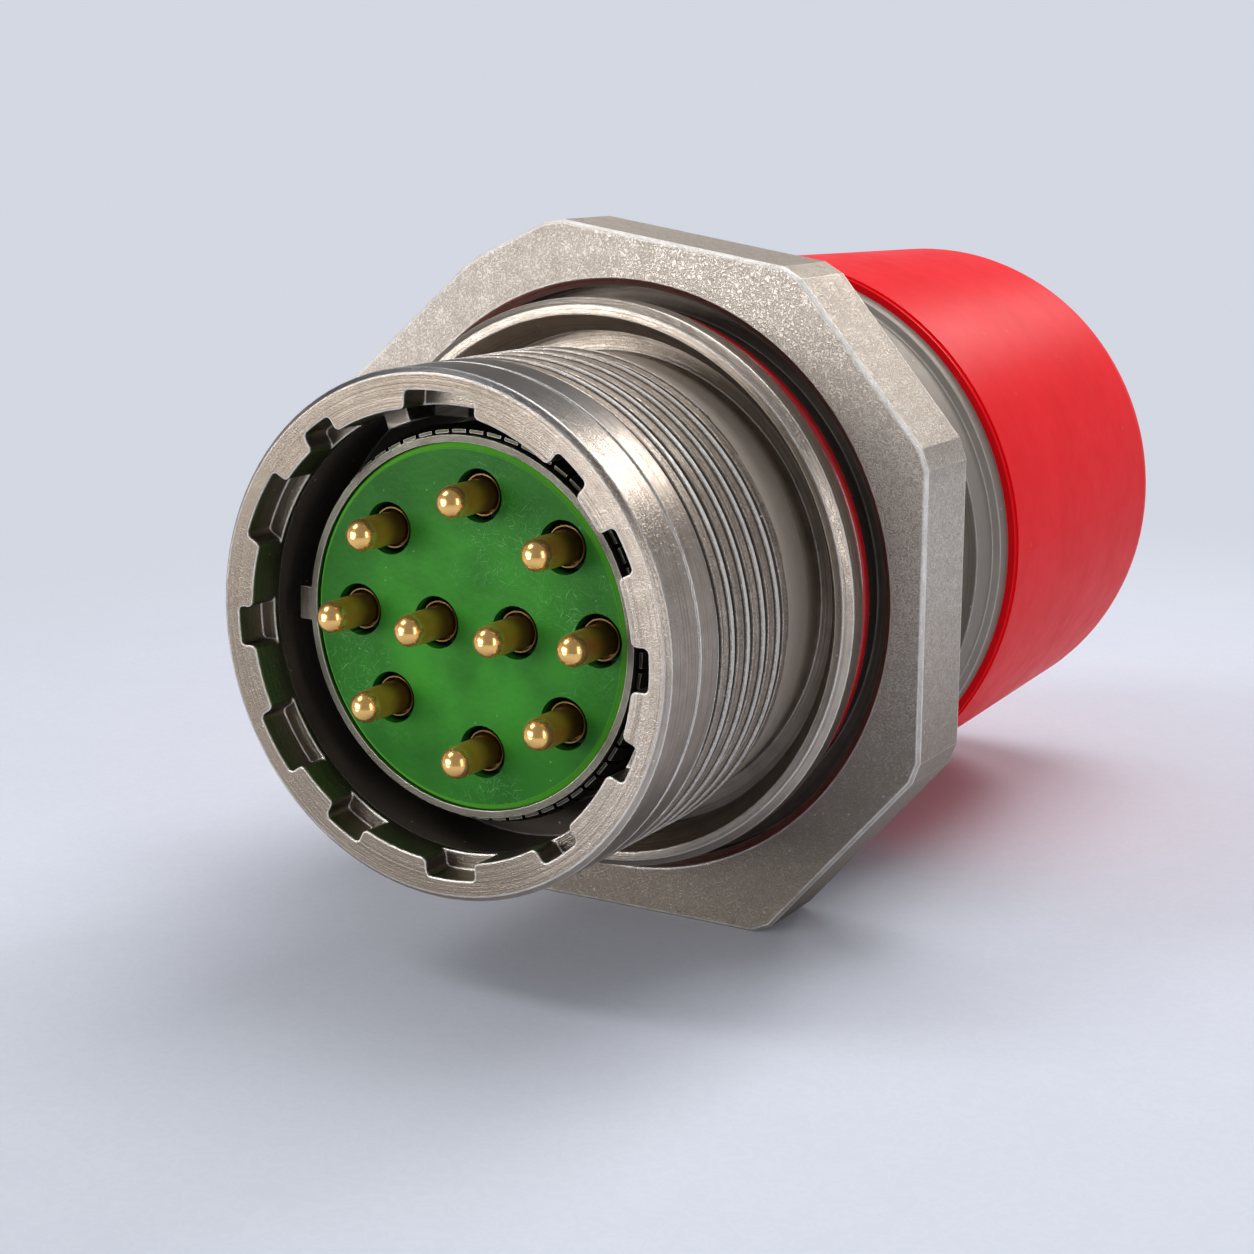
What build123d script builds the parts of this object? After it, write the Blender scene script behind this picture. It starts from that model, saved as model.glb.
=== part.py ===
from build123d import *
from math import cos, radians, sin
import os

os.makedirs("parts", exist_ok=True)

# Sizes are millimetres. The connector's axis is Y, its mating end points to -Y and +Z is up.
# The origin is on the axis in the panel seat, the flat front of the flange.

# Clearances and small breaks
slip = 0.02
insert_slip = 0.02
running_gap = 0.10
edge_break = 0.20

# Barrel in front of the flange
front_length = 17.5
barrel_radius = 13.40
face_bevel = 0.28
line_groove_from_face = 2.8
line_groove_width = 0.22
line_groove_depth = 0.12
thread_from_face = 4.7
thread_length = 7.7
thread_depth = 0.37
thread_lead_in = 0.25
neck_step_ahead = 1.0
neck_front_drop = 0.20
neck_rear_drop = 0.65
gap_floor_ahead = 0.2

# Mating lip with its keyways: angle about the axis from +X towards +Z, and width
lip_wall = 2.0
lip_depth = 2.2
keyway_floor_wall = 1.10
keyway_depth = 1.8
keyway_corner = 0.30
keyways = (
    (87.0, 4.15), (48.4, 2.10), (26.9, 2.30), (-0.4, 2.15), (-23.1, 2.05), (-53.0, 2.45),
    (-86.1, 3.00), (-119.1, 2.30), (-146.3, 3.35), (-176.9, 2.05), (151.0, 3.95), (124.3, 1.95),
)
cavity_wall = 1.40
cavity_depth = 7.5
lug_angle = 110.0
lug_width = 1.4
lug_height = 1.3
lug_from_face = 2.6
lug_length = 2.2
lug_root = 0.4

# Flange: each milled flat's angle and its distance from the axis
flange_thickness = 5.3
flange_flats = (
    (0.0, 18.5), (40.0, 19.4), (81.0, 18.9), (114.0, 19.72), (130.0, 19.4),
    (180.0, 18.7), (-136.0, 19.4), (-90.0, 19.1), (-41.0, 19.65),
)
corner_land = 0.65
flange_bevel = 0.18
collar_stand = 2.35
collar_wall = 0.87
collar_height = 2.95
collar_bevel = 0.42
collar_head_length = 1.45
collar_undercut = 0.75
collar_foot_wall = 1.10
collar_funnel_length = 1.75
recess_width = 1.65
recess_taper = 0.45
recess_depth = 2.0
seal_section_radius = 0.5
seal_sink = 0.15
seal_behind_seat = 0.1

# Insert sleeve and its grounding fingers
insert_recess = 2.85
sleeve_radius = 9.80
sleeve_wall = 0.37
sleeve_rear = 8.5
sleeve_lip_height = 1.05
sleeve_lip_thickness = 1.0
sleeve_key_angle = 178.5
sleeve_key_width = 1.75
sleeve_key_height = 0.7
sleeve_key_length = 2.4
finger_base_height = 0.50
finger_base_length = 2.4
finger_thickness = 0.16
finger_crest_height = 0.45
finger_tip_height = 0.06
finger_tip_behind_insert = 0.45
finger_rise_length = 0.6
finger_count = 60
finger_slot = 0.24

# Rear body, its rings measured from the seat the cap slides on
rear_neck_wall = 2.9
rear_neck_length = 8.5
rear_ring_drop = 0.10
rear_ring_length = 2.3
stop_bead_height = 0.32
stop_bead_rise = 0.25
stop_bead_length = 1.4
cap_seat_radius = 15.95
cap_seat_length = 6.0
accessory_drop = 1.45
accessory_length = 9.0
accessory_relief_depth = 0.6
accessory_relief_length = 1.5
accessory_bevel = 0.6
accessory_bore_clearance = 0.15

# Insert and what holds the contacts
insert_rim_bevel = 0.28
front_insert_length = 9.15
carrier_length = 5.0
grommet_rear_step = 0.1
well_radius = 1.36
well_depth = 1.5
clip_wall = 0.08
clip_slot = 0.5
clip_end_gap = 0.2
clip_tine_length = 1.8
wire_hole_radius = 0.95

# Contact pattern: insets from the insert's rim, and the whole pattern's shift off the axis
pattern_shift_x = 0.58
pattern_shift_z = 0.29
end_pin_inset = 2.85
end_pin_offset = 0.33
column_pin_inset = 2.57
column_pin_angle = 40.3
outer_pin_inset = 2.21
inner_pin_offset = 2.38
inner_pin_drop = 0.15

# Contacts
pin_radius = 0.84
pin_ahead_of_insert = 3.05
rim_radius = 1.06
rim_wall = 0.07
rim_behind_insert = 0.3
rim_groove_depth = 0.9
well_floor_wall = 1.0
body_radius = 1.20
collar_gap_behind_insert = 1.0
collar_length_on_contact = 1.0
retention_radius = 1.38
crimp_radius = 1.26
contact_rear = 6.5
wire_well_radius = 0.85
wire_well_depth = 6.0
wire_well_cone = 0.5
sight_hole_radius = 0.35
sight_hole_ahead = 4.6
quarter_turn = 90.0

# Snap ring behind the sleeve
snap_ring_thickness = 0.9
snap_ring_inner_clearance = 0.10
snap_ring_bite = 0.6
snap_ring_opening = 3.0

# Push-on cap
cap_wall = 0.62
cap_draft = 0.55
cap_length = 28.1
cap_end_wall = 1.3
cap_end_rounding = 3.0
cap_rim_step = 0.12
cap_rim_step_length = 0.35

# Stations along the axis
y_face = -front_length
y_thread_front = y_face + thread_from_face
y_thread_rear = y_thread_front + thread_length
y_collar_front = -collar_height
y_flange_rear = flange_thickness
y_ring_front = y_flange_rear + rear_neck_length
y_bead_front = y_ring_front + rear_ring_length
y_cap_rim = y_bead_front + stop_bead_length
y_seat_rear = y_cap_rim + cap_seat_length
y_shell_rear = y_seat_rear + accessory_length
y_insert = y_face + insert_recess
y_cavity_floor = y_face + cavity_depth
y_finger_seat = y_cavity_floor + finger_base_length
y_carrier = y_insert + front_insert_length
y_grommet = y_carrier + carrier_length
y_snap_ring = sleeve_rear + sleeve_lip_thickness
y_contact_body = y_insert + well_depth + well_floor_wall

# Radii that follow from the ones above
face_radius = barrel_radius - face_bevel
thread_root_radius = barrel_radius - thread_depth
neck_front_radius = barrel_radius - neck_front_drop
neck_rear_radius = barrel_radius - neck_rear_drop
lip_inner_radius = barrel_radius - lip_wall
keyway_radius = barrel_radius - keyway_floor_wall
cavity_radius = barrel_radius - cavity_wall
lug_inner_radius = cavity_radius - lug_height
collar_radius = barrel_radius + collar_stand
collar_foot_radius = collar_radius - collar_undercut
recess_radius = collar_foot_radius + recess_width
seal_centre_radius = collar_foot_radius - seal_sink
blank_radius = 1.2 * max(distance for angle, distance in flange_flats)
sleeve_bore_radius = sleeve_radius - sleeve_wall
sleeve_lip_radius = sleeve_radius + sleeve_lip_height
finger_base_radius = sleeve_radius + finger_base_height
finger_crest_radius = sleeve_radius + finger_crest_height
finger_tip_radius = sleeve_radius + finger_tip_height
insert_radius = sleeve_bore_radius - insert_slip
accessory_bore_radius = sleeve_lip_radius + accessory_bore_clearance
snap_ring_inner_radius = sleeve_radius + snap_ring_inner_clearance
rear_neck_radius = accessory_bore_radius + rear_neck_wall
rear_ring_radius = cap_seat_radius - rear_ring_drop
stop_bead_radius = cap_seat_radius + stop_bead_height
accessory_radius = cap_seat_radius - accessory_drop
accessory_relief_radius = accessory_radius - accessory_relief_depth


def station(y):
    """Plane across the axis, looked at from the mating end: local x is right and local y is up."""
    return Plane(origin=(0, y, 0), x_dir=(1, 0, 0), z_dir=(0, -1, 0))


def outline(*points):
    """Closed half section of a turned piece, as pairs of radius and station."""
    with BuildSketch(Plane.XY) as section:
        with BuildLine():
            Polyline(*points, close=True)
        make_face()
    return section.sketch


def polar(radius, angle):
    return (radius * cos(radians(angle)), radius * sin(radians(angle)))


# Ten contacts: one at the top and bottom, four in two columns, four in the middle row
end_z = insert_radius - end_pin_inset
outer_x = insert_radius - outer_pin_inset
column_x, column_z = polar(insert_radius - column_pin_inset, column_pin_angle)
pattern = (
    (end_pin_offset, end_z), (-column_x, column_z), (column_x, column_z), (-outer_x, 0),
    (-inner_pin_offset, -inner_pin_drop), (inner_pin_offset, -inner_pin_drop), (outer_x, 0),
    (-column_x, -column_z), (column_x, -column_z), (end_pin_offset, -end_z),
)
contact_places = [(x + pattern_shift_x, z + pattern_shift_z) for x, z in pattern]


# Shell: turned from bar, with milled flats and broached keyways
with BuildPart() as shell:
    revolve(outline(
        (0, y_face), (face_radius, y_face), (barrel_radius, y_face + face_bevel),
        (barrel_radius, y_thread_front), (thread_root_radius, y_thread_front + thread_lead_in),
        (thread_root_radius, y_thread_rear), (neck_front_radius, y_thread_rear),
        (neck_rear_radius, -neck_step_ahead), (neck_rear_radius, flange_thickness), (0, flange_thickness),
    ), axis=Axis.Y)

    # Flange: a disc milled to unequal flats, its corners and outer edges broken
    with BuildSketch(station(y_flange_rear)) as flange_form:
        Circle(blank_radius)
        for angle, distance in flange_flats:
            with Locations(polar(distance, angle)):
                Rectangle(blank_radius, 2 * blank_radius, rotation=angle,
                          align=(Align.MIN, Align.CENTER), mode=Mode.SUBTRACT)
        chamfer(flange_form.vertices(), corner_land)
    extrude(amount=flange_thickness)
    flange_rims = shell.faces().filter_by(Axis.Y).filter_by_position(Axis.Y, -edge_break, y_flange_rear + edge_break)
    chamfer([edge for rim in flange_rims for edge in rim.outer_wire().edges()], flange_bevel)

    # Seal recess in the flange's front, around a pilot collar whose undercut foot holds the seal
    revolve(outline(
        (neck_rear_radius, 0), (recess_radius, 0), (recess_radius - recess_taper, recess_taper),
        (recess_radius - recess_taper, recess_depth), (neck_rear_radius, recess_depth),
    ), axis=Axis.Y, mode=Mode.SUBTRACT)
    revolve(outline(
        (0, -gap_floor_ahead), (collar_foot_radius - collar_foot_wall, -gap_floor_ahead),
        (collar_foot_radius - collar_foot_wall, y_collar_front + collar_funnel_length),
        (collar_radius - collar_wall, y_collar_front), (collar_radius - collar_bevel, y_collar_front),
        (collar_radius, y_collar_front + collar_bevel),
        (collar_radius, y_collar_front + collar_head_length),
        (collar_foot_radius, y_collar_front + collar_head_length),
        (collar_foot_radius, recess_depth), (0, recess_depth),
    ), axis=Axis.Y)
    with BuildSketch(Plane.XY):
        with Locations((seal_centre_radius, seal_behind_seat)):
            Circle(seal_section_radius + slip)
    revolve(axis=Axis.Y, mode=Mode.SUBTRACT)

    # Rear body: neck, ring that carries the cap, accessory end
    revolve(outline(
        (0, recess_depth), (rear_neck_radius, recess_depth), (rear_neck_radius, y_ring_front),
        (rear_ring_radius, y_ring_front), (rear_ring_radius, y_bead_front),
        (stop_bead_radius, y_bead_front + stop_bead_rise), (stop_bead_radius, y_cap_rim),
        (cap_seat_radius, y_cap_rim), (cap_seat_radius, y_seat_rear),
        (accessory_relief_radius, y_seat_rear),
        (accessory_relief_radius, y_seat_rear + accessory_relief_length),
        (accessory_radius, y_seat_rear + accessory_relief_length),
        (accessory_radius, y_shell_rear - accessory_bevel),
        (accessory_radius - accessory_bevel, y_shell_rear), (0, y_shell_rear),
    ), axis=Axis.Y)

    # Witness line turned round the smooth front band
    revolve(outline(
        (barrel_radius - line_groove_depth, y_face + line_groove_from_face),
        (barrel_radius + line_groove_depth, y_face + line_groove_from_face),
        (barrel_radius + line_groove_depth, y_face + line_groove_from_face + line_groove_width),
        (barrel_radius - line_groove_depth, y_face + line_groove_from_face + line_groove_width),
    ), axis=Axis.Y, mode=Mode.SUBTRACT)

    # Stepped bore from the mating cavity to the accessory end
    revolve(outline(
        (0, y_face), (lip_inner_radius, y_face), (lip_inner_radius, y_face + lip_depth),
        (cavity_radius, y_face + lip_depth), (cavity_radius, y_cavity_floor),
        (finger_base_radius + slip, y_cavity_floor), (finger_base_radius + slip, y_finger_seat),
        (sleeve_radius + slip, y_finger_seat), (sleeve_radius + slip, sleeve_rear),
        (accessory_bore_radius, sleeve_rear), (accessory_bore_radius, y_shell_rear), (0, y_shell_rear),
    ), axis=Axis.Y, mode=Mode.SUBTRACT)
    revolve(outline(
        (accessory_bore_radius, y_snap_ring), (accessory_bore_radius + snap_ring_bite, y_snap_ring),
        (accessory_bore_radius + snap_ring_bite, y_snap_ring + snap_ring_thickness + slip),
        (accessory_bore_radius, y_snap_ring + snap_ring_thickness + slip),
    ), axis=Axis.Y, mode=Mode.SUBTRACT)

    # Keyways: parallel-sided slots with an arc for a floor and rounded corners, closed at the back
    with BuildSketch(station(y_face + keyway_depth)) as keyway_form:
        for angle, width in keyways:
            with Locations(polar(keyway_radius / 2, angle)):
                Rectangle(keyway_radius + width, width, rotation=angle)
        Circle(keyway_radius, mode=Mode.INTERSECT)
        Circle(lip_inner_radius)
        fillet(keyway_form.vertices(), keyway_corner)
    extrude(amount=keyway_depth, mode=Mode.SUBTRACT)

    # Polarising lug on the cavity's wall
    with BuildSketch(station(y_face + lug_from_face + lug_length)):
        with Locations(polar((lug_inner_radius + cavity_radius + lug_root) / 2, lug_angle)):
            Rectangle(cavity_radius + lug_root - lug_inner_radius, lug_width, rotation=lug_angle)
    extrude(amount=lug_length)
shell.part.label = "shell"
export_step(shell.part, "parts/shell.step")

# Panel seal: an O-ring round the foot of the pilot collar
with BuildPart() as panel_o_ring:
    with BuildSketch(Plane.XY):
        with Locations((seal_centre_radius, seal_behind_seat)):
            Circle(seal_section_radius)
    revolve(axis=Axis.Y)
panel_o_ring.part.label = "panel_o_ring"
export_step(panel_o_ring.part, "parts/panel_o_ring.step")

# Insert sleeve: a thin metal tube with a rear lip and one polarising key
with BuildPart() as insert_sleeve:
    revolve(outline(
        (sleeve_bore_radius, y_insert), (sleeve_radius, y_insert), (sleeve_radius, sleeve_rear),
        (sleeve_lip_radius, sleeve_rear), (sleeve_lip_radius, y_snap_ring), (sleeve_bore_radius, y_snap_ring),
    ), axis=Axis.Y)
    with BuildSketch(station(y_insert + sleeve_key_length)):
        with Locations(polar(sleeve_radius + sleeve_key_height / 2 - sleeve_wall / 4, sleeve_key_angle)):
            Rectangle(sleeve_key_height + sleeve_wall / 2, sleeve_key_width, rotation=sleeve_key_angle)
    extrude(amount=sleeve_key_length)
insert_sleeve.part.label = "insert_sleeve"
export_step(insert_sleeve.part, "parts/insert_sleeve.step")

# Grounding ring: a band with arched spring fingers that press on the plug's shell
y_tip = y_insert + finger_tip_behind_insert
y_crest = y_tip + finger_rise_length
with BuildPart() as grounding_fingers:
    revolve(outline(
        (finger_tip_radius, y_tip), (finger_tip_radius + finger_thickness, y_tip),
        (finger_crest_radius, y_crest), (finger_crest_radius - finger_thickness / 2, y_cavity_floor),
        (finger_base_radius, y_cavity_floor), (finger_base_radius, y_finger_seat - slip),
        (sleeve_radius + slip, y_finger_seat - slip), (sleeve_radius + slip, y_cavity_floor),
        (finger_crest_radius - 3 * finger_thickness / 2, y_cavity_floor - slip),
        (finger_crest_radius - finger_thickness, y_crest + finger_thickness),
    ), axis=Axis.Y)
    with BuildSketch(station(y_cavity_floor - finger_slot)):
        with PolarLocations(finger_crest_radius, finger_count):
            Rectangle(cavity_wall, finger_slot)
    extrude(amount=front_length, mode=Mode.SUBTRACT)
    with BuildSketch(station(y_insert + sleeve_key_length + finger_slot)):
        with Locations(polar(finger_crest_radius, sleeve_key_angle)):
            Rectangle(cavity_wall, sleeve_key_width + 2 * finger_slot, rotation=sleeve_key_angle)
    extrude(amount=front_length, mode=Mode.SUBTRACT)
grounding_fingers.part.label = "grounding_fingers"
export_step(grounding_fingers.part, "parts/grounding_fingers.step")

# Front insert: the moulded green disc, with a well round every pin
with BuildPart() as front_insert:
    revolve(outline(
        (0, y_insert), (insert_radius - insert_rim_bevel, y_insert), (insert_radius, y_insert + insert_rim_bevel),
        (insert_radius, y_carrier), (0, y_carrier),
    ), axis=Axis.Y)
    with BuildSketch(station(y_carrier)):
        with Locations(*contact_places):
            Circle(body_radius + slip)
    extrude(amount=y_carrier - y_contact_body, mode=Mode.SUBTRACT)
    with BuildSketch(station(y_contact_body)):
        with Locations(*contact_places):
            Circle(rim_radius + slip)
    extrude(amount=y_contact_body - y_insert, mode=Mode.SUBTRACT)
    with BuildSketch(station(y_insert + well_depth)):
        with Locations(*contact_places):
            Circle(well_radius)
    extrude(amount=well_depth, mode=Mode.SUBTRACT)
front_insert.part.label = "front_insert"
export_step(front_insert.part, "parts/front_insert.step")

# Contact carrier: the rear hard insert, bored for the retention clips
clip_radius = retention_radius + slip + clip_wall
with BuildPart() as contact_carrier:
    with BuildSketch(station(y_grommet)):
        Circle(insert_radius)
        with Locations(*contact_places):
            Circle(clip_radius + slip, mode=Mode.SUBTRACT)
    extrude(amount=carrier_length)
contact_carrier.part.label = "contact_carrier"
export_step(contact_carrier.part, "parts/contact_carrier.step")

# Retention clips: slotted spring sleeves whose tines close behind each contact's collar
y_clip_front = y_carrier + clip_end_gap
y_clip_rear = y_grommet - clip_end_gap
with BuildPart() as clip_blank:
    revolve(outline(
        (clip_radius - clip_wall, y_clip_front), (clip_radius, y_clip_front),
        (clip_radius, y_clip_rear - clip_tine_length), (crimp_radius + slip + clip_wall, y_clip_rear),
        (crimp_radius + slip, y_clip_rear), (clip_radius - clip_wall, y_clip_rear - clip_tine_length),
    ), axis=Axis.Y)
    with BuildSketch(station(y_clip_rear)):
        with Locations((clip_radius, 0)):
            Rectangle(clip_radius, clip_slot)
    extrude(amount=carrier_length, mode=Mode.SUBTRACT)
with BuildPart() as contact_clips:
    for x, z in contact_places:
        with Locations((x, 0, z)):
            add(clip_blank.part)
contact_clips.part.label = "contact_clips"
export_step(contact_clips.part, "parts/contact_clips.step")

# Wire grommet: the soft rear seal, with a hole behind every contact
with BuildPart() as wire_grommet:
    with BuildSketch(station(y_snap_ring - grommet_rear_step)):
        Circle(insert_radius)
        with Locations(*contact_places):
            Circle(wire_hole_radius, mode=Mode.SUBTRACT)
    extrude(amount=y_snap_ring - grommet_rear_step - y_grommet)
    with BuildSketch(station(contact_rear)):
        with Locations(*contact_places):
            Circle(crimp_radius + slip)
    extrude(amount=contact_rear - y_grommet, mode=Mode.SUBTRACT)
wire_grommet.part.label = "wire_grommet"
export_step(wire_grommet.part, "parts/wire_grommet.step")

# Snap ring that locks the sleeve into the shell
with BuildPart() as snap_ring:
    with BuildSketch(station(y_snap_ring + snap_ring_thickness)):
        Circle(accessory_bore_radius + snap_ring_bite - slip)
        Circle(snap_ring_inner_radius, mode=Mode.SUBTRACT)
        with Locations((0, -accessory_bore_radius)):
            Rectangle(snap_ring_opening, accessory_bore_radius, mode=Mode.SUBTRACT)
    extrude(amount=snap_ring_thickness)
snap_ring.part.label = "snap_ring"
export_step(snap_ring.part, "parts/snap_ring.step")

# Contacts: turned pins with a round tip, a thin rim in the well, a retention collar and a crimp barrel
y_pin_tip = y_insert - pin_ahead_of_insert
y_rim = y_insert + rim_behind_insert
y_rim_groove = y_rim + rim_groove_depth
y_body = y_contact_body + slip
y_collar = y_carrier + collar_gap_behind_insert
tip_side = pin_radius * sin(radians(quarter_turn / 2))
with BuildPart() as contact_blank:
    with BuildSketch(Plane.XY):
        with BuildLine():
            l1 = ThreePointArc(
                (0, y_pin_tip),
                (tip_side, y_pin_tip + pin_radius - tip_side),
                (pin_radius, y_pin_tip + pin_radius),
            )
            Polyline(
                l1 @ 1, (pin_radius, y_rim_groove), (rim_radius - rim_wall, y_rim_groove),
                (rim_radius - rim_wall, y_rim), (rim_radius, y_rim), (rim_radius, y_body),
                (body_radius, y_body), (body_radius, y_collar),
                (retention_radius, y_collar), (retention_radius, y_collar + collar_length_on_contact),
                (crimp_radius, y_collar + collar_length_on_contact), (crimp_radius, contact_rear),
                (wire_well_radius, contact_rear), (wire_well_radius, contact_rear - wire_well_depth),
                (0, contact_rear - wire_well_depth - wire_well_cone), (0, y_pin_tip),
            )
        make_face()
    revolve(axis=Axis.Y)
    with BuildSketch(Plane.XY):
        with Locations((0, contact_rear - sight_hole_ahead)):
            Circle(sight_hole_radius)
    extrude(amount=crimp_radius, mode=Mode.SUBTRACT)
for number, (x, z) in enumerate(contact_places, 1):
    with BuildPart() as contact:
        with Locations((x, 0, z)):
            add(contact_blank.part)
    contact.part.label = f"contact_pin_{number:02d}"
    export_step(contact.part, f"parts/contact_pin_{number:02d}.step")

# Dust cap: a drafted plastic cup pushed over the rear ring, its rim against the stop bead
cap_bore_radius = cap_seat_radius + running_gap
cap_rim_radius = cap_bore_radius + cap_wall
y_cap_end = y_cap_rim + cap_length
y_cap_floor = y_cap_end - cap_end_wall
cap_rear_radius = cap_rim_radius - cap_draft
with BuildPart() as dust_cap:
    revolve(outline(
        (0, y_cap_floor), (cap_rear_radius - cap_wall, y_cap_floor), (cap_bore_radius, y_seat_rear),
        (cap_bore_radius, y_cap_rim), (cap_rim_radius, y_cap_rim),
        (cap_rim_radius, y_cap_rim + cap_rim_step_length),
        (cap_rim_radius + cap_rim_step, y_cap_rim + cap_rim_step_length),
        (cap_rear_radius, y_cap_end), (0, y_cap_end),
    ), axis=Axis.Y)
    rear_edges = dust_cap.edges().filter_by(GeomType.CIRCLE).group_by(Axis.Y)
    fillet(rear_edges[-1], cap_end_rounding)
    floor_edges = dust_cap.edges().filter_by(GeomType.CIRCLE).filter_by_position(
        Axis.Y, y_cap_floor - edge_break, y_cap_floor + edge_break)
    fillet(floor_edges, cap_end_rounding - cap_end_wall)
dust_cap.part.label = "dust_cap"
export_step(dust_cap.part, "parts/dust_cap.step")
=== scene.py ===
# %% [markdown]
# Panel receptacle of a circular connector, dressed for one studio picture.
#
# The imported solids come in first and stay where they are. Everything below either paints them,
# or adds a surface that is too fine for the solids, such as the coupling thread.

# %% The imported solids
import math

import bpy
import numpy as np
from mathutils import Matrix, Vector


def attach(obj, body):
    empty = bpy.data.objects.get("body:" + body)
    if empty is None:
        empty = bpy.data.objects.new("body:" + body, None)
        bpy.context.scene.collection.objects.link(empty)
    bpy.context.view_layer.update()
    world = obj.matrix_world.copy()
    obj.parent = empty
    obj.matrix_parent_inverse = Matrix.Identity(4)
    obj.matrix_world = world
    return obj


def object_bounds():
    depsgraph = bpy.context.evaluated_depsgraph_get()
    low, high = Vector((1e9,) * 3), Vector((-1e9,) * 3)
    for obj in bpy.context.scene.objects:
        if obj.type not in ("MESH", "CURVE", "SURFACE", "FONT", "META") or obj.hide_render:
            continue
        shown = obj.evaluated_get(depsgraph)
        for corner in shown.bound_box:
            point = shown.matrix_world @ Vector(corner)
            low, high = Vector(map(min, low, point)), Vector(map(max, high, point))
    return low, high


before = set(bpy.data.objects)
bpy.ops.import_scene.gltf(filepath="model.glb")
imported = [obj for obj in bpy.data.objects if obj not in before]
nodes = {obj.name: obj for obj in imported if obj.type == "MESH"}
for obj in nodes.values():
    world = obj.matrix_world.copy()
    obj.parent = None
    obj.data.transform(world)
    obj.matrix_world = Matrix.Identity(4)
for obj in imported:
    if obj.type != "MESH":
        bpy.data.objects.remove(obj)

MM = 0.001
solid_box = [list(corner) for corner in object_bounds()]
print("solids span", np.round((np.array(solid_box[1]) - solid_box[0]) / MM, 2), "mm")

# %% [markdown]
# The camera stands where the photographer's stood: close to the mating face, a little to its
# right and a little above, so that the round face turns into an ellipse and the rear tapers away.
# A camera could be aimed at a point, but here the two angles of its axis and its place are given
# apart, because they can then be corrected one at a time.

# %% Camera
AZIMUTH = math.radians(30.7)
ELEVATION = math.radians(12.6)
CAMERA_PLACE = Vector((63.6, -105.9, 24.9)) * MM

backward = Vector((
    math.sin(AZIMUTH) * math.cos(ELEVATION),
    -math.cos(AZIMUTH) * math.cos(ELEVATION),
    math.sin(ELEVATION),
))
camera = bpy.data.objects.new("camera", bpy.data.cameras.new("camera"))
camera.data.lens = 65.0
camera.data.sensor_width = 36.0
camera.data.clip_start = 1 * MM
camera.data.clip_end = 5.0
camera.location = CAMERA_PLACE
camera.rotation_euler = backward.to_track_quat("Z", "Y").to_euler()
bpy.context.scene.collection.objects.link(camera)
bpy.context.scene.camera = camera
bpy.context.scene.view_settings.view_transform = "Standard"
print("camera", round(CAMERA_PLACE.length / MM), "mm from the origin")

# %% [markdown]
# Node trees are long to write, so small helpers carry the rest of the file. One adds a node and
# fills or links its inputs, four do arithmetic, and the others turn a value into a mask, a share
# or a colour. A mask is 1 where something applies and 0 where it doesn't, with a smooth step.

# %% Helpers for node trees
def put(tree, kind, values=None, **settings):
    """Adds a node. Settings are its own options; values fill or link its inputs."""
    item = tree.nodes.new("ShaderNode" + kind)
    for key, value in settings.items():
        setattr(item, key, value)
    for key, value in (values or {}).items():
        if isinstance(value, bpy.types.NodeSocket):
            tree.links.new(value, item.inputs[key])
        else:
            item.inputs[key].default_value = value
    return item


def calc(tree, operation, *values):
    """Result of one Math node."""
    return put(tree, "Math", dict(enumerate(values)), operation=operation).outputs[0]


def times(tree, value, *others):
    """Product of all the values."""
    for other in others:
        value = calc(tree, "MULTIPLY", value, other)
    return value


def largest(tree, value, *others):
    """The largest of the values."""
    for other in others:
        value = calc(tree, "MAXIMUM", value, other)
    return value


def plus(tree, value, *parts):
    """A value with parts added to it, each a pair: a share and the amount at the full share."""
    for share, amount in parts:
        value = calc(tree, "MULTIPLY_ADD", share, amount, value)
    return value


def mask(tree, value, low, high):
    """0 below low, 1 above high, with an S-curve between; low may be the larger."""
    return put(tree, "MapRange", {"Value": value, "From Min": low, "From Max": high},
               interpolation_type="SMOOTHSTEP").outputs[0]


def spread(tree, value, low, high):
    """A value from 0 to 1 laid out between two others."""
    return put(tree, "MapRange", {"Value": value, "To Min": low, "To Max": high}).outputs[0]


def mix(tree, share, first, second):
    """Colour mixed from two."""
    return put(tree, "Mix", {0: share, 6: first, 7: second}, data_type="RGBA").outputs[2]


def layered(tree, tone, *coats):
    """Colours laid over a first one in turn, each a pair: its share and the colour."""
    for share, colour in coats:
        tone = mix(tree, share, tone, colour)
    return tone


# %% [markdown]
# An effect that several finishes share is a node group: built once, with named inputs, and placed
# in each material with its own values. The first one is not an effect but a ruler. A turned piece
# is easiest to describe by the distance from its axis and the place along it, in millimetres.

# %% Groups: how one is made, and the ruler
def new_group(name, inputs, outputs):
    """An empty node group with its sockets. Gives the group, its inputs and its outputs.

    An input that starts as None is a vector, and so is an output called Normal.
    """
    group = bpy.data.node_groups.new(name, "ShaderNodeTree")
    for label, start in inputs.items():
        kind = "NodeSocketVector" if start is None else "NodeSocketFloat"
        socket = group.interface.new_socket(label, in_out="INPUT", socket_type=kind)
        if start is not None:
            socket.default_value = start
    for label in outputs:
        kind = "NodeSocketVector" if label == "Normal" else "NodeSocketFloat"
        group.interface.new_socket(label, in_out="OUTPUT", socket_type=kind)
    given = group.nodes.new("NodeGroupInput").outputs
    result = group.nodes.new("NodeGroupOutput").inputs
    return group, given, result


def place(tree, group, **values):
    """Puts a group into a tree. Underscores in the names of inputs stand for spaces."""
    item = put(tree, "Group", node_tree=group)
    for key, value in values.items():
        socket = item.inputs[key.replace("_", " ")]
        if isinstance(value, bpy.types.NodeSocket):
            tree.links.new(value, socket)
        else:
            socket.default_value = value
    return item.outputs


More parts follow.
